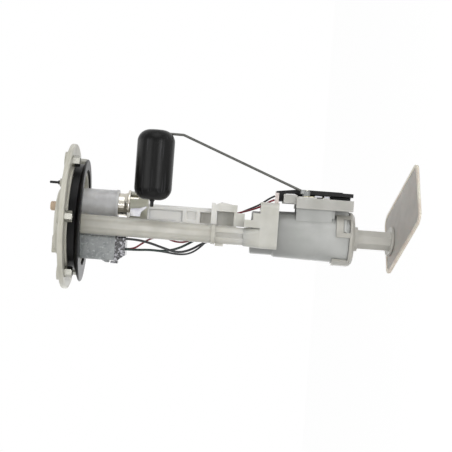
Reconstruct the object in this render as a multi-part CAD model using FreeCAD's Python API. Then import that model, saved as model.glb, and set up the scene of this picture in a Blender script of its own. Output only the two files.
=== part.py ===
"""In-tank fuel pump module, hanging from its round tank flange.

Millimetres. +Z points up, out of the tank. The origin is the centre of the flange's sealing
underside, so everything inside the tank has a negative Z. The float swings on the +X side.
"""

import FreeCAD
import Part

import math
import os

# Flange
flange_r = 58.0
flange_t = 4.0
edge_round = 1.0
bolt_circle_r = 50.0
bolt_count = 6
bolt_hole_r = 2.75
boss_r = 6.8
boss_top = 5.7
rim_rib_r = 47.75
rim_rib_w = 2.5
rim_rib_top = 5.4
dome_r = 39.0
dome_top = 7.0
dome_wall = 3.5
platform_r = 26.5
platform_x = -4.5
platform_top = 11.3
spigot_r = 38.0
spigot_wall = 3.5
spigot_drop = 8.0
shoulder_r, shoulder_drop = 45.0, 1.3
collar_flats = 7.6
collar_drop = 6.0
collar_sleeve_r = 3.8

# Tank gasket
gasket_r = 42.2
gasket_drop = 5.9
lip_r = 48.8
lip_end = -10.3
lip_shift_x, lip_shift_y = -2.6, -1.2
lip_tilt = 1.35

# Ports and the electrical connector on the flange
outlet_x, outlet_y = 7.4, 4.0
outlet_r = 3.8
outlet_bore_r = 2.0
outlet_tip = 18.6
vent_x, vent_y = 26.2, -6.0
vent_r = 1.0
vent_seat_top = 11.0
vent_tip = 19.2
socket_x, socket_y = -22.5, -1.5
socket_w, socket_l = 11.0, 24.0
socket_floor = 3.0
socket_top = 12.9
pin_pitch = 4.2
pin_top = 7.8

# Inner connector and the plug under the flange
inner_x0, inner_x1 = -32.5, -13.0
inner_y0, inner_y1 = -12.0, 9.0
inner_end = -36.4
plug_end = -44.6

# Pressure regulator and its holder
reg_x, reg_y = 12.3, 6.0
holder_r = 11.3
holder_bore_r = 9.6
holder_end = -36.0
crimp_r = 12.3
crimp_z = -44.3
can_r = 9.4
can_end = -53.2
cover_top = -45.4
cover_r = 11.4
cover_bore_r = 9.7
cover_end = -59.5

# Fuel tube, the front beam of the carrier
tube_x, tube_y = -5.2, -10.5
tube_w_top, tube_w_end = 15.8, 13.8
tube_depth = 15.5
tube_corner = 5.6
tube_end = -142.7
tube_bore_r = 4.4
slot_top, slot_end = -115.0, -140.5

# Lower carrier: rear rail, clamp block, posts and pump saddle
rail_x0, rail_x1 = 1.2, 14.4
rail_y0, rail_y1 = -2.6, 10.0
rail_end = -111.0
clamp_end = -131.0
clamp_x0, clamp_x1 = 0.6, 18.4
clamp_y0 = -11.5
saddle_top, saddle_end = -149.3, -163.7
saddle_x0, saddle_x1 = -14.4, 22.3
saddle_half_y = 20.4

# Pump case, on the pump's own axis
pump_x, pump_y = -2.2, 0.0
case_top = -142.7
case_step = -160.6
case_end = -220.2
case_neck_r = 17.1
case_shoulder_r = 18.4
case_foot_r = 19.7
case_bore_r = 15.9
wall_y = 13.9
wall_t = 1.8
wall_end, wall_top = -206.0, -177.6

# Electric pump
can_outer_r = 15.4
can_inner_r = 14.2
can_top, pump_can_end = -147.0, -214.0
cover_z = -158.0
nipple_x, nipple_y = -4.4, -8.2
nipple_r = 3.5
nipple_bore_r = 2.9
nipple_top = -134.0
seat_z = -142.0
poppet_r = 2.84
poppet_len = 3.0
shaft_r = 1.5
bush_r = 3.2
running_gap = 0.05
magnet_t = 2.5
magnet_top, magnet_end = -166.5, -203.0
armature_r = 10.6
armature_top, armature_end = -171.0, -199.0
armature_slots = 8
commutator_r = 7.0
commutator_face = -164.0
brush_w, brush_l = 3.2, 4.4
brush_top = -154.5
brush_offset = 5.1
terminal_xs = (-9.6, -3.0)
terminal_y0, terminal_y1 = 4.6, 8.0
impeller_r = 11.8
impeller_t = 2.6
impeller_vanes = 24
chamber_top = -208.5

# End cap, neck and strainer
cap_r = 22.0
cap_floor_top, cap_end = -221.0, -224.5
# Snap arms: bearing from -Y, half angle, top, then the window's half angle, bottom and top
cap_arms = [(30.5, 27.5, -209.7, 17.5, -220.6, -215.2), (152.5, 24.0, -208.2, 9.5, -218.6, -210.3),
            (270.0, 37.0, -208.2, 9.5, -218.6, -210.3)]
neck_x = -1.6
neck_r = 7.4
neck_room_r = 8.4
neck_bore_r = 5.3
neck_collar_r = 9.65
neck_collar_end = -228.0
sock_w, sock_l, sock_t = 57.6, 78.7, 3.4
sock_corner = 7.9
sock_rim_w, sock_rim_t = 3.0, 1.6
sock_x, sock_y, sock_z = 16.35, -16.12, -261.04
sock_spin = 37.25
sock_lean = 10.34
sock_lean_towards = -55.34

# Level sender on top of the pump case
deck_x0, deck_x1 = 26.0, 28.0
deck_z0, deck_z1 = -221.8, -177.0
fascia_x0 = 19.4
fascia_y0, fascia_y1 = -19.6, -16.2
black_y0, black_y1 = -6.0, 16.0
black_end = -222.4
pivot_y, pivot_z = -12.0, -184.5
pivot_r = 1.0
hub_r = 3.0
arm_lean = 8.5
arm_wire_r = 1.0
arm_rise_x = 69.6
arm_root_s, arm_root_x = 2.4, 32.6
arm_bend_s = 100.5
arm_reach = 121.6
arm_tip_x = 11.8
float_x0, float_x1 = 17.4, 71.9
float_r = 14.6
float_round = 9.5
sheath_r, sheath_len = 1.4, 5.2

# Leads: route points from the plug to the pump and to the sender
lead_r = 0.95
thin_lead_r = 0.75
lead_routes = {
    "lead_black": (lead_r, [
        (-14.6, -9.5, -44.6), (-14.6, -9.5, -53.0), (-16.4, -9.6, -63.5), (-19.8, -9.4, -75.0),
        (-22.8, -8.0, -86.0), (-20.0, -3.4, -96.0), (-14.0, 2.0, -105.0), (-9.8, 4.8, -115.0),
        (-8.6, 6.6, -126.0), (-9.6, 6.3, -135.0), (-9.6, 6.3, -143.4)]),
    "lead_green": (lead_r, [
        (-23.0, -5.0, -44.6), (-23.0, -5.0, -52.5), (-22.0, -5.0, -63.5), (-22.5, -4.4, -75.0),
        (-19.6, -1.2, -86.0), (-14.4, 3.0, -95.0), (-8.4, 7.4, -104.0), (-4.0, 9.6, -115.0),
        (-2.2, 9.2, -126.0), (-3.0, 6.6, -135.5), (-3.0, 6.3, -143.4)]),
    "lead_red": (thin_lead_r, [
        (-22.6, -2.2, -44.6), (-22.6, -2.2, -50.5), (-17.2, -3.2, -57.5), (-12.4, 0.6, -64.5),
        (-11.0, 3.2, -74.0), (-14.8, 2.8, -84.0), (-13.6, 5.6, -94.0), (-7.0, 12.4, -102.0),
        (2.6, 14.6, -111.0), (9.4, 14.4, -122.0), (12.9, 12.4, -133.5), (15.6, 7.0, -142.0),
        (18.0, 1.4, -148.0), (20.6, -3.4, -152.4), (23.2, -7.0, -156.2), (24.8, -8.1, -159.8)]),
    "lead_sender": (thin_lead_r, [
        (-22.8, 1.4, -44.6), (-22.8, 1.4, -53.0), (-22.4, 0.8, -64.0), (-22.9, -0.2, -75.5),
        (-24.4, 0.0, -86.5), (-23.0, 2.2, -96.0), (-17.0, 6.8, -104.0), (-8.4, 12.8, -111.0),
        (1.4, 17.0, -118.0), (8.9, 17.0, -127.0), (13.8, 14.6, -135.5), (17.4, 9.0, -143.0),
        (20.2, 3.4, -148.6), (23.2, -1.6, -152.6), (26.0, -6.2, -156.4), (27.8, -8.1, -159.8)]),
}

parts = {}


def vec(x, y, z):
    return FreeCAD.Vector(x, y, z)


def box(x0, x1, y0, y1, z0, z1):
    return Part.makeBox(x1 - x0, y1 - y0, z1 - z0, vec(x0, y0, z0))


def rod(radius, z0, z1, x=0.0, y=0.0):
    return Part.makeCylinder(radius, z1 - z0, vec(x, y, z0))


def tube(outer, inner, z0, z1, x=0.0, y=0.0):
    return rod(outer, z0, z1, x, y).cut(rod(inner, z0, z1, x, y))


def turned(profile, x=0.0, y=0.0):
    """A solid of revolution from (radius, height) corners."""
    outline = Part.makePolygon([vec(r, 0, z) for r, z in profile + profile[:1]])
    solid = Part.Face(outline).revolve(vec(0, 0, 0), vec(0, 0, 1), 360)
    solid.translate(vec(x, y, 0))
    return solid


def rounded_outline(width, length, corner, x=0.0, y=0.0, z=0.0):
    """A closed rectangle in the XY plane with round corners."""
    half_w, half_l = width / 2, length / 2
    centres = [(half_w - corner, half_l - corner, 0), (corner - half_w, half_l - corner, 90),
               (corner - half_w, corner - half_l, 180), (half_w - corner, corner - half_l, 270)]
    edges = []
    previous = None
    for cx, cy, start in centres:
        arc = Part.Arc(Part.Circle(vec(x + cx, y + cy, z), vec(0, 0, 1), corner),
                       math.radians(start), math.radians(start + 90)).toShape()
        if previous is not None:
            edges.append(Part.makeLine(previous, arc.firstVertex().Point))
        edges.append(arc)
        previous = arc.lastVertex().Point
    edges.append(Part.makeLine(previous, edges[0].firstVertex().Point))
    return Part.Wire(Part.__sortEdges__(edges))


def slab(width, length, corner, z0, z1, x=0.0, y=0.0):
    return Part.Face(rounded_outline(width, length, corner, x, y, z0)).extrude(vec(0, 0, z1 - z0))


def side_slab(profile, y0, y1):
    """A plate with an (x, z) outline, extruded along Y."""
    outline = Part.makePolygon([vec(x, y0, z) for x, z in profile + profile[:1]])
    return Part.Face(outline).extrude(vec(0, y1 - y0, 0))


def around(shape, count, x=0.0, y=0.0, start=0.0):
    """Copies of a shape, evenly turned about a vertical axis."""
    copies = []
    for i in range(count):
        copy = shape.copy()
        copy.rotate(vec(x, y, 0), vec(0, 0, 1), start + i * 360.0 / count)
        copies.append(copy)
    return copies


def rounded_edges(shape, radius, wanted):
    """Rounds the edges whose centre passes the test."""
    return shape.makeFillet(radius, [e for e in shape.Edges if wanted(e)])


def circular_edges(shape, radius, z):
    return [e for e in shape.Edges if isinstance(e.Curve, Part.Circle)
            and abs(e.Curve.Radius - radius) < 0.01 and abs(e.Curve.Center.z - z) < 0.01]


def coil(radius, wire_r, z0, z1, turns, x=0.0, y=0.0):
    """A compression spring between two heights, measured over its wire."""
    rise = z1 - z0 - 2 * wire_r
    helix = Part.makeHelix(rise / turns, rise, radius)
    helix.translate(vec(x, y, z0 + wire_r))
    start = vec(x + radius, y, z0 + wire_r)
    section = Part.Wire(Part.makeCircle(wire_r, start, vec(0, 1, 0)))
    return Part.Wire(helix).makePipeShell([section], True, True)


def bent_path(points, radius_of):
    """Straight runs joined by tangent arcs; returns the wire and the arc radii."""
    nodes = [vec(*p) for p in points]
    edges, radii = [], []
    here = nodes[0]
    for before, corner, after in zip(nodes, nodes[1:], nodes[2:]):
        run_in, run_out = corner - before, after - corner
        turn = run_in.getAngle(run_out)
        radius = radius_of(min(run_in.Length, run_out.Length), turn)
        cut = radius * math.tan(turn / 2)
        enter = corner - run_in.normalize() * cut
        leave = corner + run_out.normalize() * cut
        inward = (run_out - run_in).normalize()
        middle = corner + inward * (radius / math.cos(turn / 2) - radius)
        edges.append(Part.makeLine(here, enter))
        edges.append(Part.Arc(enter, middle, leave).toShape())
        here = leave
        radii.append(radius)
    edges.append(Part.makeLine(here, nodes[-1]))
    return Part.Wire(edges), radii


def round_bar(points, bar_r, radius_of):
    path, radii = bent_path(points, radius_of)
    start = vec(*points[0])
    along = vec(*points[1]) - start
    section = Part.Wire(Part.makeCircle(bar_r, start, along))
    return path.makePipeShell([section], True, False), path, radii


def add(name, shape):
    parts[name] = shape.removeSplitter()


# Flange and what is moulded or pressed into it

def flange_holes():
    centre = rod(collar_sleeve_r, -1, boss_top + 1, bolt_circle_r)
    return around(centre, bolt_count, start=30)


def make_flange():
    plate = turned([
        (0, dome_top), (dome_r - 1.5, dome_top), (dome_r, dome_top - 1.5), (dome_r + 1.2, flange_t),
        (flange_r, flange_t), (flange_r, 0), (shoulder_r, 0), (shoulder_r, -shoulder_drop),
        (spigot_r, -shoulder_drop), (spigot_r, -spigot_drop), (spigot_r - spigot_wall, -spigot_drop),
        (spigot_r - spigot_wall, dome_top - dome_wall), (0, dome_top - dome_wall)])
    rim = circular_edges(plate, flange_r, flange_t) + circular_edges(plate, flange_r, 0)
    plate = plate.makeFillet(edge_round, rim)
    boss = rod(boss_r, flange_t - 1, boss_top, bolt_circle_r)
    platform = turned([
        (0, dome_top - 1), (platform_r + 1, dome_top - 1), (platform_r + 1, dome_top),
        (platform_r, platform_top - 1.2), (platform_r - 1.2, platform_top), (0, platform_top)], platform_x)
    rib = box(dome_r - 3, bolt_circle_r + 1, -1.2, 1.2, flange_t - 1, boss_top - 0.8)
    ribs = around(rib, bolt_count, start=30)
    ribs.append(tube(rim_rib_r + rim_rib_w / 2, rim_rib_r - rim_rib_w / 2, flange_t - 1, rim_rib_top))
    outlet_seat = rod(outlet_r + 2.4, dome_top, platform_top + 1.0, outlet_x, outlet_y)
    vent_seat = rod(vent_r + 2.2, dome_top - 1, vent_seat_top, vent_x, vent_y)
    well = slab(socket_w + 3.2, socket_l + 3.2, 2.6, socket_floor - 2.0, socket_top, socket_x, socket_y)
    plate = plate.multiFuse([platform, outlet_seat, vent_seat, well] + ribs
                            + around(boss, bolt_count, start=30))
    socket = slab(socket_w, socket_l, 1.6, socket_floor, socket_top + 1, socket_x, socket_y)
    slots = [box(socket_x - 0.45, socket_x + 0.45, y - 1.15, y + 1.15, -1, socket_floor + 1) for y in pin_rows()]
    bores = [rod(outlet_r - 0.8, dome_top - dome_wall - 1, platform_top + 2, outlet_x, outlet_y),
             rod(vent_r, dome_top - dome_wall - 1, vent_seat_top + 1, vent_x, vent_y)]
    for hole in [socket] + slots + bores + flange_holes():
        plate = plate.cut(hole)
    add("flange_plate", plate)


def pin_rows():
    return [socket_y + (i - 1.5) * pin_pitch for i in range(4)]


def make_collars():
    """Six compression sleeves: a round part in the flange and a hexagon below it."""
    across_corners_r = collar_flats / 2 / math.cos(math.radians(30))
    corners = [vec(across_corners_r * math.cos(math.radians(a)), across_corners_r * math.sin(math.radians(a)),
                   -collar_drop) for a in range(30, 391, 60)]
    hexagon = Part.Face(Part.makePolygon(corners)).extrude(vec(0, 0, collar_drop))
    cone = Part.makeCone(collar_flats / 2 - 0.1, collar_flats / 2 + 1.9, 2.0, vec(0, 0, -collar_drop))
    skirt = rod(collar_flats / 2 + 1.9, -collar_drop + 2.0, 0)
    collar = hexagon.common(cone.fuse(skirt)).fuse(rod(collar_sleeve_r, 0, boss_top))
    collar = collar.cut(rod(bolt_hole_r, -collar_drop - 1, boss_top + 1))
    collar.translate(vec(bolt_circle_r, 0, 0))
    add("flange_collars", Part.Compound(around(collar, bolt_count, start=30)))


def make_gasket():
    inner = spigot_r + 0.3
    body = tube(gasket_r, inner, lip_end + 1.8, -shoulder_drop - 0.05)
    lip = turned([
        (inner - 8, lip_end), (lip_r - 0.7, lip_end), (lip_r, lip_end + 0.6), (lip_r, lip_end + 1.1),
        (lip_r - 0.8, lip_end + 1.7), (gasket_r + 1.5, -gasket_drop - 1.0), (gasket_r - 1.5, -gasket_drop),
        (inner - 8, -gasket_drop)])
    lip.rotate(vec(0, 0, lip_end), vec(1, 0, 0), lip_tilt)
    lip.translate(vec(lip_shift_x, lip_shift_y, 0))
    add("tank_gasket", body.fuse(lip.cut(rod(inner, lip_end - 4, 0))))


def make_ports():
    outlet = turned([
        (outlet_bore_r, dome_top - dome_wall - 2), (outlet_r - 0.8, dome_top - dome_wall - 2),
        (outlet_r - 0.8, platform_top + 1.0), (outlet_r, platform_top + 1.0), (outlet_r, outlet_tip - 0.7),
        (outlet_r - 0.7, outlet_tip), (outlet_bore_r, outlet_tip)], outlet_x, outlet_y)
    add("outlet_nipple", outlet)
    vent = turned([
        (0.5, dome_top - dome_wall - 1.5), (vent_r, dome_top - dome_wall - 1.5), (vent_r, vent_seat_top),
        (vent_r + 0.7, vent_seat_top), (vent_r + 0.7, vent_seat_top + 1.4), (vent_r, vent_seat_top + 1.4),
        (vent_r, vent_tip - 0.4), (vent_r - 0.3, vent_tip), (0.5, vent_tip)], vent_x, vent_y)
    add("vent_nipple", vent)


def make_connector():
    """Blade pins run from the outer socket to the inner connector, where the plug meets them."""
    pins = [box(socket_x - 0.4, socket_x + 0.4, y - 1.1, y + 1.1, -24.0, pin_top) for y in pin_rows()]
    add("connector_pins", Part.Compound(pins))
    roof = dome_top - dome_wall
    width, depth = inner_x1 - inner_x0, inner_y1 - inner_y0
    mid_x, mid_y = (inner_x0 + inner_x1) / 2, (inner_y0 + inner_y1) / 2
    well_bottom = socket_floor - 2.0
    body = slab(width, depth, 2.2, inner_end, roof, mid_x, mid_y)
    body = body.cut(slab(socket_w + 3.2, socket_l + 3.2, 2.6, well_bottom, roof + 1, socket_x, socket_y))
    latch = side_slab([(inner_x0, -26.0), (inner_x0 - 1.8, -29.5), (inner_x0 - 1.8, -32.0),
                       (inner_x0, -32.6)], mid_y - 5, mid_y + 5)
    body = body.fuse(latch)
    cavity = slab(width - 3.6, depth - 3.6, 1.4, inner_end - 1, -22.0, mid_x, mid_y)
    for hole in [cavity] + [box(socket_x - 0.4, socket_x + 0.4, y - 1.1, y + 1.1, -24.0, roof)
                            for y in pin_rows()]:
        body = body.cut(hole)
    add("inner_connector", body)
    plug = slab(width - 3.8, depth - 3.8, 1.3, inner_end - 0.5, -33.0, mid_x, mid_y)
    head = slab(width, depth - 1.0, 1.6, plug_end, inner_end, mid_x, mid_y)
    corner = side_slab([(inner_x0 - 1, plug_end - 1), (inner_x0 + 5.5, plug_end - 1), (inner_x0 - 1, plug_end + 7)],
                       inner_y0 - 1, inner_y1 + 1)
    plug = plug.fuse(head.cut(corner))
    strap = box(inner_x0 - 2.2, inner_x0 - 0.6, mid_y - 4, mid_y + 4, plug_end + 5.6, -33.4)
    bridge = box(inner_x0 - 2.2, inner_x0 + 1.2, mid_y - 4, mid_y + 4, plug_end + 5.6, plug_end + 7.4)
    plug = plug.multiFuse([strap, bridge])
    add("wire_plug", plug)
    sleeves = [box(socket_x - 1.6, socket_x + 1.6, y - 1.9, y + 1.9, -33.0, -24.1) for y in pin_rows()]
    add("plug_terminals", Part.Compound(sleeves))


# Pressure regulator under the flange

def make_regulator():
    roof = dome_top - dome_wall
    holder = tube(holder_r, holder_bore_r, holder_end, roof, reg_x, reg_y)
    deck = rod(holder_r, -13.0, -10.5, reg_x, reg_y).cut(rod(4.2, -14, -9, reg_x, reg_y))
    ring = tube(holder_r + 0.5, holder_bore_r, holder_end, holder_end + 2.2, reg_x, reg_y)
    add("regulator_holder", holder.multiFuse([deck, ring]))
    upper = turned([
        (2.1, -16.0), (4.1, -16.0), (4.1, -26.0), (9.2, -26.5), (9.2, -40.5), (crimp_r - 2.2, crimp_z + 1.3),
        (crimp_r - 2.2, crimp_z + 0.4), (8.4, crimp_z + 0.4), (8.4, -27.6), (3.1, -27.2), (2.1, -27.2)], reg_x, reg_y)
    ports = [Part.makeCylinder(1.0, 12.0, vec(reg_x, reg_y, -32.0), vec(math.cos(a), math.sin(a), 0))
             for a in [math.radians(60 * i + 15) for i in range(6)]]
    for port in ports:
        upper = upper.cut(port)
    add("regulator_seat_can", upper)
    lower = turned([
        (crimp_r, crimp_z + 0.5), (crimp_r - 0.5, crimp_z + 1.0), (crimp_r - 2.2, crimp_z + 1.3),
        (crimp_r - 2.2, crimp_z + 0.4), (crimp_r - 0.7, crimp_z + 0.4), (crimp_r - 0.7, crimp_z - 0.4),
        (can_r - 0.8, crimp_z - 0.4), (can_r - 0.8, can_end + 0.8), (0.9, can_end + 0.8), (0.9, can_end),
        (can_r - 0.8, can_end), (can_r, can_end + 0.8), (can_r, crimp_z - 1.0), (crimp_r - 0.5, crimp_z - 1.0),
        (crimp_r, crimp_z - 0.5)], reg_x, reg_y)
    add("regulator_spring_can", lower)
    diaphragm = tube(crimp_r - 0.8, 3.0, crimp_z - 0.3, crimp_z + 0.3, reg_x, reg_y)
    add("regulator_diaphragm", diaphragm)
    valve = turned([
        (0, -27.22), (2.8, -27.22), (2.8, -29.5), (1.3, -30.5), (1.3, crimp_z + 0.9), (5.6, crimp_z + 0.9),
        (5.6, crimp_z + 0.5), (2.6, crimp_z + 0.5), (2.6, crimp_z - 0.6), (5.4, crimp_z - 0.6), (5.4, crimp_z - 1.6),
        (2.4, crimp_z - 1.6), (2.4, crimp_z - 3.0), (0, crimp_z - 3.0)], reg_x, reg_y)
    add("regulator_valve", valve)
    add("regulator_spring", coil(3.9, 0.5, can_end + 0.9, crimp_z - 1.7, 3.5, reg_x, reg_y))
    upper_ring = Part.makeTorus(4.1 + 0.8, 0.8, vec(reg_x, reg_y, -19.0))
    lower_ring = Part.makeTorus(9.2 + 0.1, 0.8, vec(reg_x, reg_y, -35.0))
    seal_zone = tube(holder_bore_r - 0.05, 9.25, -37, -33, reg_x, reg_y)
    add("regulator_o_rings", Part.Compound([upper_ring, lower_ring.common(seal_zone)]))
    cover = tube(cover_r, cover_bore_r, cover_end, cover_top, reg_x, reg_y)
    cover = cover.fuse(rod(cover_r, cover_end, cover_end + 2.0, reg_x, reg_y))
    for turn in (70, 190, 310):
        slot = box(cover_bore_r - 2, cover_r + 2, -2.4, 2.4, -52.0, -45.0)
        slot.rotate(vec(0, 0, 0), vec(0, 0, 1), turn)
        slot.translate(vec(reg_x, reg_y, 0))
        cover = cover.cut(slot)
    add("regulator_cover", cover)
    clip = side_slab([(3.8, -46.2), (9.6, -46.2), (10.2, -50.0), (10.4, -53.6), (12.4, -58.6), (11.0, -59.2),
                      (8.0, -55.6), (6.4, -54.6), (3.8, -54.2)], reg_y - cover_r - 2.2, reg_y - cover_r + 0.4)
    add("regulator_clip", clip.cut(rod(cover_r + 0.02, -62, -44, reg_x, reg_y)))


# Carrier between the flange and the pump

def fuel_beam(grow=0.0):
    """The beam's outer form, slightly slimmer towards the pump."""
    top = rounded_outline(tube_w_top + grow, tube_depth + grow, tube_corner, tube_x + 0.4, tube_y,
                          dome_top - dome_wall)
    end = rounded_outline(tube_w_end + grow, tube_depth + grow, tube_corner, tube_x - 1.0, tube_y, tube_end)
    return Part.makeLoft([top, end], True, True)


def make_fuel_tube():
    """Moulded beam with the fuel passage inside."""
    roof = dome_top - dome_wall
    beam = fuel_beam()
    foot_x = tube_x - 1.0 - tube_w_end / 2
    foot = box(foot_x - 1.8, foot_x + 3, tube_y - 4, tube_y + 4, -121.6, -115.2)
    band = slab(tube_w_end + 2.0, tube_depth + 1.6, tube_corner, -114.6, -111.6, tube_x - 0.7, tube_y)
    stop = box(tube_x + 4, 6.4, -11.0, -7.7, -46.5, -44.0)
    beam = beam.multiFuse([foot, band, stop])
    front = tube_y - tube_depth / 2
    recess = slab(3.6, slot_top - slot_end, 1.7, 0, 2.0)
    recess.rotate(vec(0, 0, 0), vec(1, 0, 0), 90)
    recess.translate(vec(tube_x - 0.6, front + 1.4, (slot_top + slot_end) / 2))
    passage = rod(tube_bore_r, tube_end - 1, -8.0, nipple_x, nipple_y)
    upper_passage = rod(3.0, -9.0, roof + 1, nipple_x, nipple_y)
    for hole in (recess, passage, upper_passage):
        beam = beam.cut(hole)
    add("fuel_tube", beam)
    ring = tube(tube_bore_r - 0.02, nipple_r + 0.02, -138.6, -136.6, nipple_x, nipple_y)
    add("outlet_o_ring", ring)


def make_rail():
    beam = box(rail_x0, rail_x1, rail_y0, rail_y1, rail_end, cover_end)
    beam = rounded_edges(beam, 2.0, lambda e: abs(e.CenterOfMass.x - rail_x1) < 0.01
                         and e.Length > 20)
    floor_y = rail_y0 + 8.0
    pockets = [(-87.8, cover_end - 1.6), (rail_end + 0.2, -101.8)]
    for low, high in pockets:
        beam = beam.cut(box(rail_x0 + 1.0, rail_x1 - 3.6, rail_y0 - 1, floor_y, low, high))
    groove = box(rail_x0 + 3.0, rail_x1 - 3.6, rail_y0 - 1, rail_y0 + 1.4, -98.6, -91.0)
    return beam.cut(groove)


def make_clamp():
    """Clamp block that ties the rail to the fuel tube, with a window in its front."""
    crest = clamp_x1 + 1.5
    block = side_slab([(clamp_x0, rail_end + 0.4), (clamp_x1 + 0.5, rail_end + 0.4), (clamp_x1 + 0.5, -113.5),
                       (clamp_x1 - 0.8, -113.8), (crest, -118.2), (clamp_x1, -127.4), (clamp_x1, clamp_end),
                       (clamp_x0, clamp_end)], clamp_y0, rail_y1)
    window = box(1.6, 12.6, clamp_y0 - 1, clamp_y0 + 12.0, -128.7, -115.2)
    return block.cut(window)


def make_saddle():
    """C-shaped saddle round the pump case, open on the side away from the sender."""
    mid_x = (saddle_x0 + saddle_x1) / 2
    block = slab(saddle_x1 - saddle_x0, 2 * saddle_half_y, 6.0, saddle_end, saddle_top, mid_x, 0)
    far_block = slab(17.0, 2 * saddle_half_y, 5.0, saddle_end, case_top + 0.1, saddle_x0 + 8.5, 0)
    block = block.fuse(far_block.cut(box(-30, 30, -30, 0, saddle_top, 0)))
    bore = rod(case_neck_r + 0.15, case_step, case_top + 2, pump_x, pump_y)
    lower_bore = rod(case_shoulder_r + 0.35, saddle_end - 1, case_step + 0.01, pump_x, pump_y)
    mouth = box(saddle_x0 - 1, pump_x, -14.5, 14.5, saddle_end - 1, case_top + 2)
    lead_channel = box(15.4, saddle_x1 + 1, -9.0, 6.0, saddle_end - 1, saddle_top + 1)
    for hole in (bore, lower_bore, mouth, lead_channel):
        block = block.cut(hole)
    return block


def make_fairing():
    """Sleeve round the fuel tube's end that widens into the saddle's near face."""
    top = rounded_outline(tube_w_end + 0.8, tube_depth + 0.8, tube_corner, tube_x - 1.0, tube_y, -137.0)
    width, depth = 17.0, saddle_half_y - 2.6
    end = rounded_outline(width, depth, 5.0, saddle_x0 + width / 2, depth / 2 - saddle_half_y, saddle_top - 0.5)
    return Part.makeLoft([top, end], True, True)


def make_lower_carrier():
    post = box(1.6, 12.2, clamp_y0, 6.0, -137.2, clamp_end + 0.5)
    bridge = box(1.6, 7.5, -saddle_half_y, 6.0, case_top + 0.1, -137.0)
    near_arm = box(1.6, 7.5, -saddle_half_y, -case_neck_r - 0.5, saddle_top - 1.0, -137.0)
    riser = box(1.6, 13.0, -saddle_half_y, -case_neck_r + 1.0, saddle_top - 1.0, -143.8)
    carrier = make_rail().multiFuse([make_clamp(), post, bridge, near_arm, riser, make_saddle(), make_fairing()])
    band_room = slab(tube_w_end + 2.1, tube_depth + 1.7, tube_corner, -114.7, -111.5, tube_x - 0.7, tube_y)
    neck_room = rod(case_neck_r + 0.15, case_step, case_top + 0.05, pump_x, pump_y)
    for room in (fuel_beam(0.06), band_room, neck_room):
        carrier = carrier.cut(room)
    add("lower_carrier", carrier)


# Pump case and the electric pump inside it

def make_pump_case():
    shell = turned([
        (12.4, case_top), (case_neck_r - 0.8, case_top), (case_neck_r, case_top - 0.8), (case_neck_r, case_step),
        (case_shoulder_r - 1.0, case_step), (case_shoulder_r, case_step - 1.6), (case_foot_r, case_end),
        (case_bore_r, case_end), (case_bore_r, case_top - 2.4), (12.4, case_top - 2.4)], pump_x, pump_y)
    walls = [box(4.0, deck_x0, y - wall_t / 2, y + wall_t / 2, wall_end, wall_top) for y in (-wall_y, wall_y)]
    ledge = box(13.0, fascia_x0, -wall_y, wall_y, wall_end - 2.0, wall_end)
    catches = [arm_sector(bearing, window_half - 1.5, case_foot_r - 1.5, case_foot_r + 1.4,
                          window_top - 2.5, window_top - 0.3)
               for bearing, half, top, window_half, window_end, window_top in cap_arms]
    shell = shell.multiFuse(walls + [ledge] + catches)
    shell = shell.cut(rod(case_bore_r, case_end - 1, case_top - 2.4, pump_x, pump_y))
    add("pump_case", shell)


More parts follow.
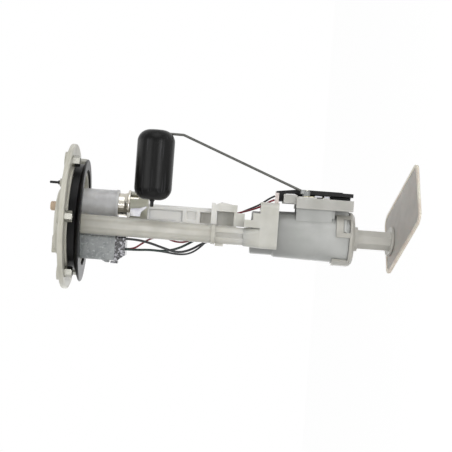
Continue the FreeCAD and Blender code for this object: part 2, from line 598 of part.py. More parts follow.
def make_pump_body():
    add("pump_can", tube(can_outer_r, can_inner_r, pump_can_end, can_top, pump_x, pump_y))
    cover = rod(can_inner_r, cover_z, can_top, pump_x, pump_y)
    cover = cover.fuse(rod(12.2, can_top, -143.4, pump_x, pump_y))
    cover = cover.fuse(rod(nipple_r, -144.0, nipple_top, nipple_x, nipple_y))
    cover = cover.cut(rod(nipple_bore_r, seat_z, nipple_top - 0.8, nipple_x, nipple_y))
    cover = cover.cut(rod(1.6, cover_z - 1, nipple_top + 1, nipple_x, nipple_y))
    cover = cover.cut(rod(bush_r, cover_z - 1, cover_z + 6.0, pump_x, pump_y))
    for side in (-1, 1):
        x = pump_x + side * brush_offset
        cover = cover.cut(box(x - brush_w / 2 - 0.1, x + brush_w / 2 + 0.1, -brush_l / 2 - 0.1,
                              brush_l / 2 + 0.1, cover_z - 1, -149.0))
    for x in terminal_xs:
        cover = cover.cut(box(x - 0.4, x + 0.4, terminal_y0, terminal_y1, -150.0, -140.0))
    add("pump_top_cover", cover)
    blades = [box(x - 0.4, x + 0.4, terminal_y0, terminal_y1, -150.0, -143.4) for x in terminal_xs]
    add("pump_terminals", Part.Compound(blades))
    poppet = turned([(0, seat_z + 0.02), (1.4, seat_z + 0.02), (poppet_r, seat_z + 1.2),
                     (poppet_r, seat_z + poppet_len), (0, seat_z + poppet_len)], nipple_x, nipple_y)
    add("check_valve", poppet)
    add("check_spring", coil(2.1, 0.35, seat_z + poppet_len + 0.05, nipple_top - 0.85, 4, nipple_x, nipple_y))
    chamber = turned([
        (bush_r, chamber_top + 4.5), (can_inner_r, chamber_top + 4.5), (can_inner_r, chamber_top - impeller_t - 0.5),
        (impeller_r + 0.3, chamber_top - impeller_t - 0.5), (impeller_r + 0.3, chamber_top), (bush_r, chamber_top)],
        pump_x, pump_y)
    port = box(pump_x + 8.0, pump_x + 10.6, -2.2, 2.2, chamber_top - 1, chamber_top + 6)
    add("pump_chamber", chamber.cut(port))
    bottom = chamber_top - impeller_t - 0.5
    inlet = turned([
        (2.4, bottom), (can_inner_r, bottom), (can_inner_r, pump_can_end), (neck_bore_r - 0.1, pump_can_end),
        (neck_bore_r - 0.1, -220.0), (3.4, -220.0), (3.4, -214.4), (2.4, -214.0)], pump_x, pump_y)
    channel = tube(10.8, 8.6, bottom - 1.0, bottom + 1, pump_x, pump_y)
    bridge = box(pump_x - 12, pump_x - 2.5, -3.0, 3.0, bottom - 2, bottom + 2)
    inlet = inlet.cut(channel.cut(bridge))
    add("pump_inlet_cover", inlet)
    cushion = tube(15.2, neck_room_r + 0.6, -220.9, pump_can_end - 0.1, pump_x, pump_y)
    for notch in around(box(12.6, 17, -1.6, 1.6, -222, -213), 6):
        notch.translate(vec(pump_x, pump_y, 0))
        cushion = cushion.cut(notch)
    add("pump_cushion", cushion)
    add("upper_bush", tube(bush_r, shaft_r + running_gap, cover_z + 0.2, cover_z + 5.8, pump_x, pump_y))
    add("lower_bush", tube(bush_r, shaft_r + running_gap, chamber_top + 0.3, chamber_top + 4.4, pump_x, pump_y))
    ring = tube(can_inner_r - 0.05, can_inner_r - magnet_t, magnet_end, magnet_top, pump_x, pump_y)
    gap = box(pump_x - 4.5, pump_x + 4.5, -20, 20, magnet_end - 1, magnet_top + 1)
    add("motor_magnets", Part.Compound(ring.cut(gap).Solids))


def make_rotor():
    add("rotor_shaft", rod(shaft_r, chamber_top - impeller_t - 0.2, cover_z + 4.6, pump_x, pump_y))
    core = tube(armature_r, shaft_r + 0.01, armature_end, armature_top, pump_x, pump_y)
    for slot in around(box(6.0, 12.0, -0.9, 0.9, armature_end - 1, armature_top + 1), armature_slots):
        slot.translate(vec(pump_x, pump_y, 0))
        core = core.cut(slot)
    ends = [tube(7.8, shaft_r + 0.01, armature_top, armature_top + 2.2, pump_x, pump_y),
            tube(7.8, shaft_r + 0.01, armature_end - 3.0, armature_end, pump_x, pump_y)]
    add("armature", core.multiFuse(ends))
    disc = tube(commutator_r, shaft_r + 0.01, armature_top + 2.3, commutator_face, pump_x, pump_y)
    for cut in around(box(2.6, 8.0, -0.25, 0.25, commutator_face - 1.6, commutator_face + 1), armature_slots, 0, 0, 22.5):
        cut.translate(vec(pump_x, pump_y, 0))
        disc = disc.cut(cut)
    add("commutator", disc)
    top = chamber_top - 0.2
    wheel = tube(impeller_r, shaft_r + 0.01, top - impeller_t, top, pump_x, pump_y)
    for pocket in around(box(9.4, 13.0, -0.8, 0.8, top - impeller_t - 1, top + 1), impeller_vanes):
        pocket.translate(vec(pump_x, pump_y, 0))
        wheel = wheel.cut(pocket)
    add("impeller", wheel)


def make_brushes():
    for name, side in (("left", -1), ("right", 1)):
        x = pump_x + side * brush_offset
        add("brush_" + name, box(x - brush_w / 2, x + brush_w / 2, -brush_l / 2, brush_l / 2,
                                 commutator_face + 0.05, brush_top))
        add("brush_spring_" + name, coil(1.15, 0.25, brush_top + 0.05, -149.05, 4, x, 0))


# End cap, neck and strainer

def arm_sector(turn, half_angle, inner, outer, z0, z1):
    """Part of a ring round the pump axis, centred on a bearing measured from -Y."""
    ring = tube(outer, inner, z0, z1, pump_x, pump_y)
    reach = 3 * outer
    spread = reach * math.tan(math.radians(half_angle))
    wedge = Part.Face(Part.makePolygon([vec(0, 0, z0), vec(-spread, -reach, z0), vec(spread, -reach, z0),
                                        vec(0, 0, z0)])).extrude(vec(0, 0, z1 - z0))
    wedge.rotate(vec(0, 0, 0), vec(0, 0, 1), turn)
    wedge.translate(vec(pump_x, pump_y, 0))
    return ring.common(wedge)


def make_end_cap():
    """Cup under the pump case, held by three snap arms with windows for the case's catches."""
    cup = turned([
        (7.0, cap_floor_top), (case_foot_r + 0.3, cap_floor_top), (case_foot_r + 0.3, cap_floor_top + 0.6),
        (cap_r - 0.6, cap_floor_top + 0.6), (cap_r - 0.6, cap_floor_top - 1.4), (cap_r - 2.8, cap_end),
        (7.0, cap_end)], pump_x, pump_y)
    inner, outer = case_foot_r + 0.3, cap_r
    for bearing, half, top, window_half, window_end, window_top in cap_arms:
        cup = cup.fuse(arm_sector(bearing, half, inner, outer, cap_floor_top, top))
        cup = cup.cut(arm_sector(bearing, window_half, inner - 1, outer + 1, window_end, window_top))
    cup = cup.cut(rod(neck_room_r, cap_end - 1, cap_floor_top + 1, neck_x, 0))
    add("end_cap", cup)


def sock_place():
    """Turns and leans a flat part into the strainer's place."""
    lean = math.radians(sock_lean_towards)
    axis = vec(-math.sin(lean), math.cos(lean), 0)
    turn = FreeCAD.Rotation(axis, sock_lean) * FreeCAD.Rotation(vec(0, 0, 1), sock_spin)
    return FreeCAD.Placement(vec(sock_x, sock_y, sock_z), turn)


def make_strainer():
    rim = slab(sock_w, sock_l, sock_corner, -sock_rim_t / 2, sock_rim_t / 2)
    inner_w, inner_l = sock_w - 2 * sock_rim_w, sock_l - 2 * sock_rim_w
    corner = sock_corner - sock_rim_w
    opening = slab(inner_w, inner_l, corner, -sock_t, sock_t)
    rim = rim.cut(opening)
    mesh = slab(inner_w, inner_l, corner, -sock_t / 2, sock_t / 2)
    mesh = mesh.makeChamfer(1.0, [e for e in mesh.Edges if abs(abs(e.CenterOfMass.z) - sock_t / 2) < 0.01])
    place = sock_place()
    pad = slab(24.0, 20.0, 9.8, sock_t / 2, sock_t / 2 + 1.6)
    for piece in (rim, mesh, pad):
        piece.Placement = place.multiply(piece.Placement)
    add("strainer_rim", rim)
    normal = place.Rotation.multVec(vec(0, 0, 1))
    foot = place.Base + normal * (sock_t / 2)
    drop = foot.z - (normal.x * (neck_x - foot.x) + normal.y * (0 - foot.y)) / normal.z
    pad.translate(vec(neck_x, 0, drop) - place.Base - normal * (sock_t / 2))
    corner_r = neck_r / math.cos(math.radians(22.5))
    corners = [vec(neck_x + corner_r * math.cos(math.radians(a)), corner_r * math.sin(math.radians(a)), drop - 4.0)
               for a in [22.5 + 45 * i for i in range(9)]]
    stem = Part.Face(Part.makePolygon(corners)).extrude(vec(0, 0, -216.2 - (drop - 4.0)))
    collar = rod(neck_collar_r, neck_collar_end, cap_end - 0.05, neck_x, 0)
    neck = stem.multiFuse([collar, pad])
    below = slab(200, 200, 20, -60, sock_t / 2)
    below.Placement = place.multiply(below.Placement)
    neck = neck.cut(below)
    neck = neck.cut(rod(neck_bore_r, drop - 8, -216, pump_x, 0))
    add("strainer_neck", neck)
    add("strainer_mesh", mesh)


# Level sender

def arm_direction():
    lean = math.radians(arm_lean)
    return -math.sin(lean), math.cos(lean)


def arm_point(s, x):
    """A point at x, at distance s from the pivot along the arm at rest."""
    dy, dz = arm_direction()
    return (x, pivot_y + s * dy, pivot_z + s * dz)


def along_arm(shape):
    """Turns a shape built along +Z from the pivot into the arm's rest direction."""
    shape.rotate(vec(0, 0, 0), vec(1, 0, 0), arm_lean)
    shape.translate(vec(0, pivot_y, pivot_z))
    return shape


def cross_rod(radius, x0, x1, y, z):
    return Part.makeCylinder(radius, x1 - x0, vec(x0, y, z), vec(1, 0, 0))


def make_sender():
    fascia = box(fascia_x0, deck_x1, fascia_y0, fascia_y1, deck_z0, deck_z1)
    back = box(fascia_x0, deck_x1, -fascia_y1, -fascia_y0, deck_z0, deck_z1)
    deck = box(deck_x0, deck_x1, fascia_y1, -fascia_y1, deck_z0, deck_z1)
    end_wall = box(20.8, deck_x0, fascia_y1, -fascia_y1, deck_z0, deck_z0 + 2.0)
    tab = box(22.8, 29.8, -15.0, 12.0, -177.4, -166.8)
    tab = tab.cut(box(22.0, 28.2, -13.2, 10.2, -176.0, -165.0))
    bracket = fascia.multiFuse([back, deck, end_wall, tab])
    bracket = rounded_edges(bracket, 1.0, lambda e: abs(e.CenterOfMass.x - deck_x1) < 0.01
                            and abs(e.CenterOfMass.y - fascia_y0) < 0.01)
    bracket = bracket.cut(cross_rod(pivot_r, 24, 30, pivot_y, pivot_z))
    add("sender_bracket", bracket)
    black = side_slab([(31.0, black_end), (33.9, black_end + 0.1), (34.3, -177.2), (32.1, -161.2), (24.2, -161.6),
                       (24.2, -166.6), (29.9, -166.6), (31.0, -170.0)], black_y0, black_y1)
    far_wall = box(deck_x1, 31.4, 11.0, 15.5, deck_z0, -177.5)
    ribs = [box(33.4, 34.6, y, y + 1.4, -214.0, -180.0) for y in (-2.0, 4.3, 10.6)]
    add("sender_frame", black.multiFuse(ribs + [far_wall]))
    card = box(deck_x1 + 0.02, deck_x1 + 0.8, -15.5, 5.5, -203.0, -178.2)
    card = card.cut(cross_rod(pivot_r + 0.3, 27, 30, pivot_y, pivot_z))
    add("resistor_card", card)
    lumps = [box(deck_x1 + 0.82, deck_x1 + 2.2, -15.4, -13.2, z - half, z + half)
             for z, half in ((-193.9, 2.8), (-200.7, 2.1))]
    add("sender_contacts", Part.Compound(lumps))
    post = box(saddle_x1 + 0.05, 30.6, -10.2, -6.1, -163.2, -160.2)
    slot = box(25.5, 31, -9.2, -7.1, -164, -161.6)
    add("sender_terminal", post.cut(slot))
    pin = cross_rod(pivot_r, 24.6, 33.6, pivot_y, pivot_z)
    add("pivot_pin", pin.fuse(cross_rod(1.9, 33.6, 34.3, pivot_y, pivot_z)))


def make_float_arm():
    hub = Part.makeCylinder(hub_r, 3.8, vec(29.45, 0, 0), vec(1, 0, 0))
    socket = box(30.8, 34.0, -1.9, 1.9, 0, 4.8)
    hub = hub.fuse(socket.cut(Part.makeCylinder(2.3, 5, vec(33.3, 0, 0), vec(1, 0, 0))))
    hub = hub.cut(Part.makeCylinder(pivot_r + running_gap, 8, vec(28, 0, 0), vec(1, 0, 0)))
    hub = along_arm(hub)
    points = [arm_point(arm_root_s, arm_root_x), arm_point(arm_bend_s, arm_rise_x),
              arm_point(arm_reach, arm_rise_x), arm_point(arm_reach, arm_tip_x)]
    bend_r = 4.0
    wire = round_bar(points, arm_wire_r, lambda run, turn: bend_r)[0]
    add("float_hub", hub.cut(wire))
    add("float_arm", wire)
    wiper = box(29.0, 29.4, -1.2, 1.2, -13.2, -1.6)
    ring = Part.makeCylinder(2.8, 0.4, vec(29.0, 0, 0), vec(1, 0, 0))
    wiper = wiper.fuse(ring).cut(Part.makeCylinder(pivot_r + 0.3, 4, vec(27, 0, 0), vec(1, 0, 0)))
    add("wiper", along_arm(wiper))
    body = Part.makeCylinder(float_r, float_x1 - float_x0, vec(float_x0, 0, arm_reach), vec(1, 0, 0))
    body = body.makeFillet(float_round, [e for e in body.Edges if isinstance(e.Curve, Part.Circle)])
    cone = Part.makeCone(sheath_r, sheath_r + 1.0, 1.8, vec(float_x0 - 1.5, 0, arm_reach), vec(1, 0, 0))
    sheath = Part.makeCylinder(sheath_r, sheath_len, vec(float_x0 - sheath_len, 0, arm_reach), vec(1, 0, 0))
    body = body.multiFuse([cone, sheath])
    groove = box(arm_rise_x - arm_wire_r - 0.05, float_x1 + 1, -arm_wire_r - 0.1, arm_wire_r + 0.1,
                 arm_reach - float_r - 1, arm_reach + 1.2)
    body = body.cut(groove)
    add("float", along_arm(body).cut(wire))


# Leads

def make_leads():
    for name, (radius, points) in lead_routes.items():
        lead, path, radii = round_bar(points, radius, lambda run, turn: 0.45 * run / math.tan(turn / 2))
        add(name, lead)
        ideal = math.pi * radius ** 2 * path.Length
        print(f"{name}: length {path.Length:.1f}, smallest radius {min(radii):.1f}, "
              f"volume {lead.Volume:.1f} of {ideal:.1f}, valid {lead.isValid()}")


def main():
    make_flange()
    make_collars()
    make_gasket()
    make_ports()
    make_connector()
    make_regulator()
    make_fuel_tube()
    make_lower_carrier()
    make_pump_case()
    make_pump_body()
    make_rotor()
    make_brushes()
    make_end_cap()
    make_strainer()
    make_sender()
    make_float_arm()
    make_leads()
    os.makedirs("parts", exist_ok=True)
    for name, shape in parts.items():
        shape.exportStep(os.path.join("parts", name + ".step"))
        print(f"{name}: {len(shape.Solids)} solids, {len(shape.Faces)} faces, volume {shape.Volume:.1f}, "
              f"valid {shape.isValid()}")


main()
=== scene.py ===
import math

import bmesh
import bpy
from mathutils import Matrix, Vector


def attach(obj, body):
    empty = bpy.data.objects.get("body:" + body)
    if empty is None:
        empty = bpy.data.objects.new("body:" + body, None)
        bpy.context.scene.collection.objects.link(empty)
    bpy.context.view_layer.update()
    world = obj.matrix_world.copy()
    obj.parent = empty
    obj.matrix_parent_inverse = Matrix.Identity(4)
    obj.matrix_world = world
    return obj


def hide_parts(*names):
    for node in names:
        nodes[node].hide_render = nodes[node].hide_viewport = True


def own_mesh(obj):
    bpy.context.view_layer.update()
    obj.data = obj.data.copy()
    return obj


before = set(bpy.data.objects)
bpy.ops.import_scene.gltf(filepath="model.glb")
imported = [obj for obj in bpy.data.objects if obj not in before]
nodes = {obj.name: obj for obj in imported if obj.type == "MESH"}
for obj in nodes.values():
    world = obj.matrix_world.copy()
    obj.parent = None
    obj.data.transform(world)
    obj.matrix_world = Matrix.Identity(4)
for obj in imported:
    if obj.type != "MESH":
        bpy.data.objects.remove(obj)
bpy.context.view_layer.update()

mm = 0.001
print("frame loaded:", len(nodes), "nodes")


# Helpers for objects, meshes and node trees
def finishedObject(name, data):
    piece = bpy.data.objects.new(name, data)
    bpy.context.scene.collection.objects.link(piece)
    return piece


def finishedMesh(name, bm, smooth=False):
    mesh = bpy.data.meshes.new(name)
    bm.to_mesh(mesh)
    bm.free()
    for polygon in mesh.polygons:
        polygon.use_smooth = smooth
    return mesh


def linear(hexColour):
    values = [int(hexColour[i:i + 2], 16) / 255 for i in (1, 3, 5)]
    return [v / 12.92 if v <= 0.04045 else ((v + 0.055) / 1.055) ** 2.4 for v in values] + [1.0]


def perMm(size):
    return 1000.0 / size  # a texture scale that gives features of that many millimetres


def add(tree, kind, settings=None, links=None):
    node = tree.nodes.new(kind)
    for key, value in (settings or {}).items():
        if isinstance(key, int) or key[0].isupper():
            node.inputs[key].default_value = value
        else:
            setattr(node, key, value)
    for key, source in (links or {}).items():
        tree.links.new(source, node.inputs[key])
    return node


def newMaterial(name):
    material = bpy.data.materials.new(name)
    material.use_nodes = True
    tree = material.node_tree
    tree.nodes.clear()
    return material, tree


def objectPlace(tree):
    return add(tree, "ShaderNodeTexCoord").outputs["Object"]


def noise(tree, place, size, detail):
    settings = {"Scale": perMm(size), "Detail": detail}
    return add(tree, "ShaderNodeTexNoise", settings, {"Vector": place}).outputs["Fac"]


# Turns a value between the two edges into 0 to 1
def spread(tree, value, edges):
    settings = {"From Min": edges[0], "From Max": edges[1]}
    return add(tree, "ShaderNodeMapRange", settings, {"Value": value}).outputs[0]


# Turns a value of 0 to 1 into one between the two ends
def between(tree, value, low, high):
    return add(tree, "ShaderNodeMapRange", {"To Min": low, "To Max": high}, {"Value": value}).outputs[0]


# Mixes two colours, of which the first may come from another node
def blend(tree, share, first, second):
    settings, links = {"data_type": "RGBA", 7: linear(second)}, {0: share}
    if isinstance(first, str):
        settings[6] = linear(first)
    else:
        links[6] = first
    return add(tree, "ShaderNodeMix", settings, links).outputs[2]


# A bumpy skin, with the sharp edges rounded in the shading where a radius is given
def skinOf(tree, height, bump, depth, radius=None):
    links = {"Height": height}
    if radius is not None:
        edge = add(tree, "ShaderNodeBevel", {"samples": 6, "Radius": radius * mm})
        links["Normal"] = edge.outputs["Normal"]
    return add(tree, "ShaderNodeBump", {"Strength": bump, "Distance": depth * mm}, links).outputs["Normal"]


def closeTree(tree, shader):
    add(tree, "ShaderNodeOutputMaterial", None, {"Surface": shader.outputs[0]})


# Camera at the photograph's angle: the module lies on its side in the picture, so its +X is up there
cameraSet = {
    "place": (0.00133, -1.016, -0.12296),
    "right": (0.0732, 0.0, -0.9973),
    "up": (0.9973, 0.0, 0.0732),
    "lens": 101.15,
    "sensor": 36.0,
    "clip": (0.05, 30.0),
}


def makeCamera():
    data = bpy.data.cameras.new("photoCamera")
    data.lens = cameraSet["lens"]
    data.sensor_width = cameraSet["sensor"]
    data.clip_start, data.clip_end = cameraSet["clip"]
    camera = finishedObject("photoCamera", data)
    right, up = Vector(cameraSet["right"]), Vector(cameraSet["up"])
    turn = Matrix((right, up, right.cross(up))).transposed().to_4x4()
    camera.matrix_world = Matrix.Translation(cameraSet["place"]) @ turn
    bpy.context.scene.camera = camera


makeCamera()
print("camera placed")


# Moulded plastics share one skin: broad patches of a second shade, a faint ripple, softly rounded edges and
# some light that seeps through. "flow" draws the ripple out along the height, the drift turns the colour into
# another one between two heights, which on the carrier is painted light, and the flecks scatter pale specks
# of a colour, a size and between the noise's edges, which on the plug are painted highlights. All sizes are
# millimetres. The ripple is much coarser than a real moulded skin's, so that it shows.
mouldedSkin = {
    "roughness": 0.32, "glossSwing": (0.82, 1.2), "gloss": 0.5, "ior": 1.48,
    "patch": 16.0, "patchDetail": 4.0, "patchEdges": (0.35, 0.65),
    "grain": 0.8, "grainDetail": 3.0, "flow": 1.0, "bump": 0.05, "bumpDepth": 0.3, "round": 0.45,
    "seep": 0.35, "seepDepth": 6.0, "seepColour": (1.0, 0.95, 0.85), "tintAndLightDrift": None, "fleckAndGlint": None,
}

# Natural acetal, injection moulded: milky and slightly see-through, so its edges glow and its hollows stay
# pale. The flange is yellower and a little duller than the rest
acetalFlange = dict(mouldedSkin, name="acetalFlangeMoulded", colour="#c2c0b5", shade="#b5b3a7",
                    roughness=0.36)
# the tube's smooth face carries a soft band of light with faint streaks, and turns whiter towards the saddle
acetalTube = dict(mouldedSkin, name="acetalTubeMoulded", colour="#bdbbb2", shade="#b1afa6", roughness=0.22,
                  grain=1.5, bump=0.03, flow=0.06, seep=0.8, tintAndLightDrift=("#c6c5c0", -116.0, -141.0))
# the carrier turns whiter towards its rail: painted light, for the light that shines through its thin walls
# there
acetalCarrier = dict(mouldedSkin, name="acetalCarrierMoulded", colour="#c8c7c0", shade="#bbbab2", seep=0.6,
                     tintAndLightDrift=("#dddcd8", -128.0, -104.0))
# the bracket's walls are plain and even
acetalBracket = dict(mouldedSkin, name="acetalBracketMoulded", colour="#b2b1ac", shade="#a4a39d")
# the regulator's holder is cool white and cloudy
acetalHolder = dict(mouldedSkin, name="acetalHolderMoulded", colour="#d6d6d6", shade="#c5c4c4",
                    roughness=0.2, grain=1.4, bump=0.08, flow=0.08, patch=7.0, seep=0.6)
# the regulator's cover is a darker, olive copy of the acetal: painted shade, for the shadow that it sits in
acetalOliveShaded = dict(mouldedSkin, name="acetalOliveShadedMoulded", colour="#bcbbac", shade="#a8a797", roughness=0.34)
# the end cap is the darkest of the whites
acetalCap = dict(mouldedSkin, name="acetalCapMoulded", colour="#b1afa8", shade="#a19f97")
# a polished mould face gives a glossy white
acetalGloss = dict(mouldedSkin, name="acetalPolishedMoulded", colour="#d9d9dd", shade="#bdbcc8",
                   roughness=0.16, patch=4.0)

# Nylon 6, moulded: greyer than acetal, with broad soft clouds and a satin skin. The case is darker towards
# the saddle
nylonCase = dict(mouldedSkin, name="nylonCaseMoulded", colour="#b2b3b0", shade="#a2a3a0", roughness=0.34,
                 seep=0.2, patch=22.0, tintAndLightDrift=("#848582", -186.0, -160.0))
# the inlet neck is a warmer grey
nylonNeck = dict(nylonCase, name="nylonNeckMoulded", colour="#bcbab3", shade="#adaba4", tintAndLightDrift=None)
# unfilled nylon looks like frosted glass, with bright specks where it is scuffed
nylonClear = dict(nylonNeck, name="nylonUnfilledMoulded", colour="#9b9e9e", shade="#7e8282", roughness=0.28,
                  patch=5.0, seep=0.3, fleckAndGlint=("#cdd0d2", 2.4, 0.55, 0.8))
# the strainer's welded rim is cream and dull, with pinkish patches
nylonRim = dict(nylonNeck, name="nylonRimWelded", colour="#d9d5c4", shade="#cdbfb2", patch=9.0,
                roughness=0.45)
# the float's hub is a mid grey
nylonHub = dict(nylonNeck, name="nylonHubMoulded", colour="#8f9190", shade="#7c7e7d", roughness=0.3)
# the terminal's post is a pale pink
nylonPost = dict(nylonNeck, name="nylonPostMoulded", colour="#dfd3cd", shade="#cfc2bc", roughness=0.3)
# the fuel port is tan and lets hardly any light through
nylonPort = dict(nylonNeck, name="nylonPortMoulded", colour="#c9b39a", shade="#b7a189", roughness=0.4,
                 seep=0.05)

# Glass-filled nylon, moulded: near black with a fine grain of fibres
nylonBlack = dict(mouldedSkin, name="nylonGlassFilledMoulded", colour="#131314", shade="#0c0c0d",
                  roughness=0.38, grain=0.5, bump=0.12, seep=0.0, gloss=0.25)
# the plug's glossy skin carries pale specks, which are painted highlights
nylonPlug = dict(nylonBlack, name="nylonPlugMoulded", colour="#1b1b1e", shade="#101012", roughness=0.24,
                 gloss=0.6, fleckAndGlint=("#b4b4ba", 2.0, 0.5, 0.64))
# Phenolic, compression moulded: dark grey and matt
phenolicInner = dict(nylonBlack, name="phenolicMoulded", colour="#3a3a3c", shade="#2c2c2e", roughness=0.5)
# Pressed carbon and sintered ferrite: dull, grainy dark greys
carbonPressed = dict(nylonBlack, name="carbonPressed", colour="#242424", shade="#161616", roughness=0.62)
ferriteSintered = dict(nylonBlack, name="ferriteSintered", colour="#2e2e30", shade="#202022", roughness=0.7)


def moulded(spec):
    material, tree = newMaterial(spec["name"])
    place = objectPlace(tree)
    patches = noise(tree, place, spec["patch"], spec["patchDetail"])
    colour = blend(tree, spread(tree, patches, spec["patchEdges"]), spec["colour"], spec["shade"])
    # On the carrier this drift is painted light, which whitens its rail
    if spec["tintAndLightDrift"]:
        other, start, full = spec["tintAndLightDrift"]
        height = add(tree, "ShaderNodeSeparateXYZ", None, {0: place}).outputs["Z"]
        colour = blend(tree, spread(tree, height, (start * mm, full * mm)), colour, other)
    # On the plug these pale specks are painted highlights
    if spec["fleckAndGlint"]:
        pale, size, start, full = spec["fleckAndGlint"]
        fleckGlintMask = noise(tree, place, size, spec["grainDetail"])
        colour = blend(tree, spread(tree, fleckGlintMask, (start, full)), colour, pale)
    drawn = add(tree, "ShaderNodeMapping", {"Scale": (1.0, 1.0, spec["flow"])}, {"Vector": place})
    grain = noise(tree, drawn.outputs["Vector"], spec["grain"], spec["grainDetail"])
    rough = between(tree, patches, *(spec["roughness"] * swing for swing in spec["glossSwing"]))
    skin = skinOf(tree, grain, spec["bump"], spec["bumpDepth"], spec["round"])
    settings = {"IOR": spec["ior"], "Specular IOR Level": spec["gloss"], "Subsurface Weight": spec["seep"],
                "Subsurface Radius": spec["seepColour"], "Subsurface Scale": spec["seepDepth"] * mm}
    shader = add(tree, "ShaderNodeBsdfPrincipled", settings,
                 {"Base Color": colour, "Roughness": rough, "Normal": skin})
    closeTree(tree, shader)
    return material


# Metals share faint lines from the tool, finer along the height than across it, and an uneven gloss in small
# clouds. The lines are coarser than real ones, so that they show.
metalSkin = {
    "roughness": 0.3, "glossSwing": (0.7, 1.35), "cloud": 3.0, "cloudDetail": 3.0,
    "lineLength": 7 / 3, "lineDetail": 5.0, "finer": 8, "bump": 0.03, "bumpDepth": 0.2, "round": 0.25,
}
# Zinc plate on steel: a bright, slightly warm shine
zincPlated = dict(metalSkin, name="zincPlatedSteel", colour="#b9b8b1", shade="#93928a", roughness=0.24)
# Stainless steel, pressed: mirror-like and warm
steelPressed = dict(metalSkin, name="stainlessPressed", colour="#d8d4ca", shade="#b3aea2", roughness=0.16)
# Steel tube and rod, drawn: a plain grey satin
steelDrawn = dict(metalSkin, name="steelTubeDrawn", colour="#b5b5b5", shade="#9a9a9a")
# Steel wire, drawn: dark grey and even, with one soft line of light along it
steelWire = dict(metalSkin, name="steelWireDrawn", colour="#5a5a57", shade="#4e4e4b", roughness=0.4,
                 bump=0.01, round=0.0)
# Spring steel, drawn: the same soft shine on a lighter grey
springWire = dict(steelWire, name="springSteelDrawn", colour="#a5a5a8", shade="#85858a")
# Brass, tinned and stamped: pale yellow-grey
brassTinned = dict(metalSkin, name="brassTinnedStamped", colour="#d3ccb0", shade="#b7ae8e")
# Bronze, sintered: dull and brown
bronzeSintered = dict(metalSkin, name="bronzeSintered", colour="#a8824f", shade="#8c6b40", roughness=0.5)
# Copper, turned: pink and bright
copperTurned = dict(metalSkin, name="copperTurned", colour="#c98a62", shade="#b0734f", roughness=0.25)
# Iron sheets in a stack: dull grey with the fine lines of the sheets' edges
ironLaminated = dict(metalSkin, name="ironLaminated", colour="#77777a", shade="#5a5a5d", roughness=0.45,
                     lineLength=5 / 3, finer=30, bump=0.3)


def metal(spec):
    material, tree = newMaterial(spec["name"])
    place = objectPlace(tree)
    drawn = add(tree, "ShaderNodeMapping", {"Scale": (1, 1, spec["finer"])}, {"Vector": place})
    lines = noise(tree, drawn.outputs["Vector"], spec["lineLength"], spec["lineDetail"])
    cloud = noise(tree, place, spec["cloud"], spec["cloudDetail"])
    colour = blend(tree, cloud, spec["colour"], spec["shade"])
    rough = between(tree, cloud, *(spec["roughness"] * swing for swing in spec["glossSwing"]))
    skin = skinOf(tree, lines, spec["bump"], spec["bumpDepth"], spec["round"])
    shader = add(tree, "ShaderNodeBsdfPrincipled", {"Metallic": 1.0},
                 {"Base Color": colour, "Roughness": rough, "Normal": skin})
    closeTree(tree, shader)
    return material


# Nitrile rubber, compression moulded: dull black, with a faint grey bloom in patches
nitrileMoulded = {
    "name": "nitrileMoulded", "colour": "#060606", "bloom": "#161618", "roughness": 0.36, "gloss": 0.16,
    "patch": 7.0, "patchDetail": 5.0, "patchEdges": (0.45, 0.8), "grain": 0.4, "grainDetail": 4.0,
    "bump": 0.2, "bumpDepth": 0.2, "round": 0.4,
}


def rubber(spec):
    material, tree = newMaterial(spec["name"])
    place = objectPlace(tree)
    patches = noise(tree, place, spec["patch"], spec["patchDetail"])
    colour = blend(tree, spread(tree, patches, spec["patchEdges"]), spec["colour"], spec["bloom"])
    grain = noise(tree, place, spec["grain"], spec["grainDetail"])
    skin = skinOf(tree, grain, spec["bump"], spec["bumpDepth"], spec["round"])
    settings = {"Roughness": spec["roughness"], "Specular IOR Level": spec["gloss"]}
    shader = add(tree, "ShaderNodeBsdfPrincipled", settings, {"Base Color": colour, "Normal": skin})
    closeTree(tree, shader)
    return material


# Closed-cell nitrile foam with a pressed skin: near black, with thin pale streaks along its length, which are
# painted highlights
floatFoam = {
    "name": "nitrileFoamSkinned", "colour": "#080808", "glintStreak": "#2c2c2e", "streakWidth": 1.6,
    "streakDetail": 3.0, "streakEdges": (0.58, 0.72), "flow": 0.05, "roughness": (0.22, 0.4), "gloss": 0.15,
    "cell": 0.9, "bump": 0.12, "bumpDepth": 0.25, "round": 0.5,
}


def foam(spec):
    material, tree = newMaterial(spec["name"])
    place = objectPlace(tree)
    along = add(tree, "ShaderNodeMapping", {"Scale": (spec["flow"], 1.0, 1.0)}, {"Vector": place})
    glintStreaks = noise(tree, along.outputs["Vector"], spec["streakWidth"], spec["streakDetail"])
    # The pale streaks are painted highlights along the float
    colour = blend(tree, spread(tree, glintStreaks, spec["streakEdges"]), spec["colour"], spec["glintStreak"])
    rough = between(tree, glintStreaks, *spec["roughness"])
    cells = add(tree, "ShaderNodeTexVoronoi", {"Scale": perMm(spec["cell"])}, {"Vector": place})
    skin = skinOf(tree, cells.outputs["Distance"], spec["bump"], spec["bumpDepth"], spec["round"])
    shader = add(tree, "ShaderNodeBsdfPrincipled", {"Specular IOR Level": spec["gloss"]},
                 {"Base Color": colour, "Roughness": rough, "Normal": skin})
    closeTree(tree, shader)
    return material


# Fired alumina, printed: a matt white card with a dark resistor arc round the pivot, between two radii
cardPrint = {
    "name": "aluminaPrinted", "base": "#d9d8d2", "ink": "#2b2a2c", "pivot": (-12.0, -184.5),
    "radii": (9.0, 13.5), "roughness": 0.4, "grain": 0.4, "grainDetail": 2.0, "bump": 0.1, "bumpDepth": 0.1,
}


